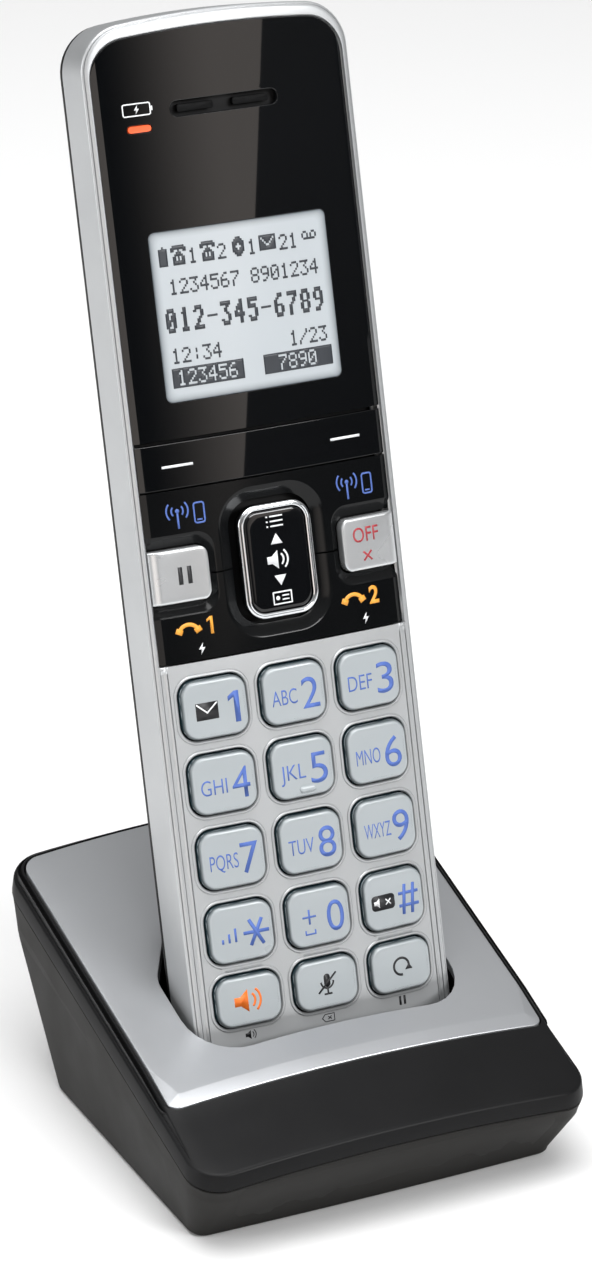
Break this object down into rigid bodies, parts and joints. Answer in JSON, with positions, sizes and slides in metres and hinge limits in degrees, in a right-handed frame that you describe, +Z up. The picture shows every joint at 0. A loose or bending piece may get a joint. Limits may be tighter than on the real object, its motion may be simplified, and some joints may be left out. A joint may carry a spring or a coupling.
{
  "type": "cordless telephone handset in charging cradle",
  "caption": "Slim cordless telephone handset with display and keypad, standing tilted in a wedge-shaped desk charging cradle.",
  "frame": {"origin": "on the floor under the middle of the whole object's bounding box", "axes": "+Z up, +X to the right of someone facing the keypad, the keypad faces -Y"},
  "size_m": [0.0762, 0.0942, 0.193],
  "materials": {
    "silver": "satin silver paint",
    "bright": "bright metallic plating",
    "gloss_black": "high gloss",
    "handset_black": "fine texture",
    "cradle_black": "fine texture",
    "tub_black": "fine texture",
    "keycap": "translucent satin",
    "display": "matt glass",
    "diffuser": "satin",
    "amber": "translucent",
    "rubber": "matt",
    "board": "solder mask",
    "contact": "plated",
    "steel": "zinc plated",
    "battery_wrap": "shrink wrap"
  },
  "bodies": {
    "cradle": {"cradle_cover": "cradle_black", "cradle_plate": "silver", "cradle_base": "tub_black", "cradle_board": "board", "power_inlet": "rubber", "foot_front_left": "rubber", "foot_front_right": "rubber", "foot_rear_left": "rubber", "foot_rear_right": "rubber", "cradle_screw_front_left": "steel", "cradle_screw_front_right": "steel", "cradle_screw_rear_left": "steel", "cradle_screw_rear_right": "steel"},
    "handset": {"front_shell": "silver", "rear_shell": "handset_black", "display_lens": "gloss_black", "lcd_panel": "display", "lcd_backlight": "diffuser", "charge_light": "amber", "earpiece_mesh": "rubber", "earpiece_speaker": "steel", "main_board": "board", "key_mat": "rubber", "microphone": "rubber", "loudspeaker": "rubber", "battery_pack": "battery_wrap", "charge_pad_left": "contact", "charge_pad_right": "contact", "handset_screw_left": "steel", "handset_screw_right": "steel"},
    "key_1": {"key_1": "keycap"},
    "key_2": {"key_2": "keycap"},
    "key_3": {"key_3": "keycap"},
    "key_4": {"key_4": "keycap"},
    "key_5": {"key_5": "keycap"},
    "key_6": {"key_6": "keycap"},
    "key_7": {"key_7": "keycap"},
    "key_8": {"key_8": "keycap"},
    "key_9": {"key_9": "keycap"},
    "key_star": {"key_star": "keycap"},
    "key_0": {"key_0": "keycap"},
    "key_pound": {"key_pound": "keycap"},
    "key_speaker": {"key_speaker": "keycap"},
    "key_mute": {"key_mute": "keycap"},
    "key_redial": {"key_redial": "keycap"},
    "hold_key": {"hold_key": "bright"},
    "off_key": {"off_key": "bright"},
    "nav_rocker": {"nav_key": "gloss_black", "nav_ring": "bright"},
    "soft_key_bar": {"soft_key_bar": "gloss_black"},
    "cell_key_bar": {"cell_key_bar": "gloss_black"},
    "line_key_bar": {"line_key_bar": "gloss_black"},
    "battery_door": {"battery_door": "handset_black"},
    "charge_pin_left": {"charge_pin_left": "contact"},
    "charge_pin_right": {"charge_pin_right": "contact"}
  },
  "joints": [
    {"name": "handset_lift", "type": "slide", "parent": "cradle", "child": "handset", "axis": [0, 0.2706, 0.9627], "range_m": [0, 0.06]},
    {"name": "key_1_press", "type": "slide", "parent": "handset", "child": "key_1", "axis": [0, 0.9627, -0.2706], "range_m": [0, 0.0008], "stiffness_N_per_m": 500},
    {"name": "key_2_press", "type": "slide", "parent": "handset", "child": "key_2", "axis": [0, 0.9627, -0.2706], "range_m": [0, 0.0008], "stiffness_N_per_m": 500},
    {"name": "key_3_press", "type": "slide", "parent": "handset", "child": "key_3", "axis": [0, 0.9627, -0.2706], "range_m": [0, 0.0008], "stiffness_N_per_m": 500},
    {"name": "key_4_press", "type": "slide", "parent": "handset", "child": "key_4", "axis": [0, 0.9627, -0.2706], "range_m": [0, 0.0008], "stiffness_N_per_m": 500},
    {"name": "key_5_press", "type": "slide", "parent": "handset", "child": "key_5", "axis": [0, 0.9627, -0.2706], "range_m": [0, 0.0008], "stiffness_N_per_m": 500},
    {"name": "key_6_press", "type": "slide", "parent": "handset", "child": "key_6", "axis": [0, 0.9627, -0.2706], "range_m": [0, 0.0008], "stiffness_N_per_m": 500},
    {"name": "key_7_press", "type": "slide", "parent": "handset", "child": "key_7", "axis": [0, 0.9627, -0.2706], "range_m": [0, 0.0008], "stiffness_N_per_m": 500},
    {"name": "key_8_press", "type": "slide", "parent": "handset", "child": "key_8", "axis": [0, 0.9627, -0.2706], "range_m": [0, 0.0008], "stiffness_N_per_m": 500},
    {"name": "key_9_press", "type": "slide", "parent": "handset", "child": "key_9", "axis": [0, 0.9627, -0.2706], "range_m": [0, 0.0008], "stiffness_N_per_m": 500},
    {"name": "key_star_press", "type": "slide", "parent": "handset", "child": "key_star", "axis": [0, 0.9627, -0.2706], "range_m": [0, 0.0008], "stiffness_N_per_m": 500},
    {"name": "key_0_press", "type": "slide", "parent": "handset", "child": "key_0", "axis": [0, 0.9627, -0.2706], "range_m": [0, 0.0008], "stiffness_N_per_m": 500},
    {"name": "key_pound_press", "type": "slide", "parent": "handset", "child": "key_pound", "axis": [0, 0.9627, -0.2706], "range_m": [0, 0.0008], "stiffness_N_per_m": 500},
    {"name": "key_speaker_press", "type": "slide", "parent": "handset", "child": "key_speaker", "axis": [0, 0.9627, -0.2706], "range_m": [0, 0.0008], "stiffness_N_per_m": 500},
    {"name": "key_mute_press", "type": "slide", "parent": "handset", "child": "key_mute", "axis": [0, 0.9627, -0.2706], "range_m": [0, 0.0008], "stiffness_N_per_m": 500},
    {"name": "key_redial_press", "type": "slide", "parent": "handset", "child": "key_redial", "axis": [0, 0.9627, -0.2706], "range_m": [0, 0.0008], "stiffness_N_per_m": 500},
    {"name": "hold_key_press", "type": "slide", "parent": "handset", "child": "hold_key", "axis": [0, 0.9627, -0.2706], "range_m": [0, 0.0007], "stiffness_N_per_m": 500},
    {"name": "off_key_press", "type": "slide", "parent": "handset", "child": "off_key", "axis": [0, 0.9627, -0.2706], "range_m": [0, 0.0007], "stiffness_N_per_m": 500},
    {"name": "nav_rock", "type": "hinge", "parent": "handset", "child": "nav_rocker", "pos_m": [0, 0.00799, 0.10186], "axis": [1, 0, 0], "range_deg": [-2.5, 2.5], "stiffness_Nm_per_rad": 0.1},
    {"name": "soft_key_bar_rock", "type": "hinge", "parent": "handset", "child": "soft_key_bar", "pos_m": [0, 0.01301, 0.11971], "axis": [0, 0.2706, 0.9627], "range_deg": [-1.5, 1.5], "stiffness_Nm_per_rad": 0.1},
    {"name": "cell_key_bar_rock", "type": "hinge", "parent": "handset", "child": "cell_key_bar", "pos_m": [0, 0.00989, 0.10862], "axis": [0, 0.2706, 0.9627], "range_deg": [-1.5, 1.5], "stiffness_Nm_per_rad": 0.1},
    {"name": "line_key_bar_rock", "type": "hinge", "parent": "handset", "child": "line_key_bar", "pos_m": [0, 0.00589, 0.09439], "axis": [0, 0.2706, 0.9627], "range_deg": [-1.5, 1.5], "stiffness_Nm_per_rad": 0.1},
    {"name": "battery_door_lift", "type": "slide", "parent": "handset", "child": "battery_door", "axis": [0, 0.9627, -0.2706], "range_m": [0, 0.01]},
    {"name": "charge_pin_left_press", "type": "slide", "parent": "cradle", "child": "charge_pin_left", "axis": [0, 0.2706, 0.9627], "range_m": [-0.001, 0], "stiffness_N_per_m": 300},
    {"name": "charge_pin_right_press", "type": "slide", "parent": "cradle", "child": "charge_pin_right", "axis": [0, 0.2706, 0.9627], "range_m": [-0.001, 0], "stiffness_N_per_m": 300}
  ]
}
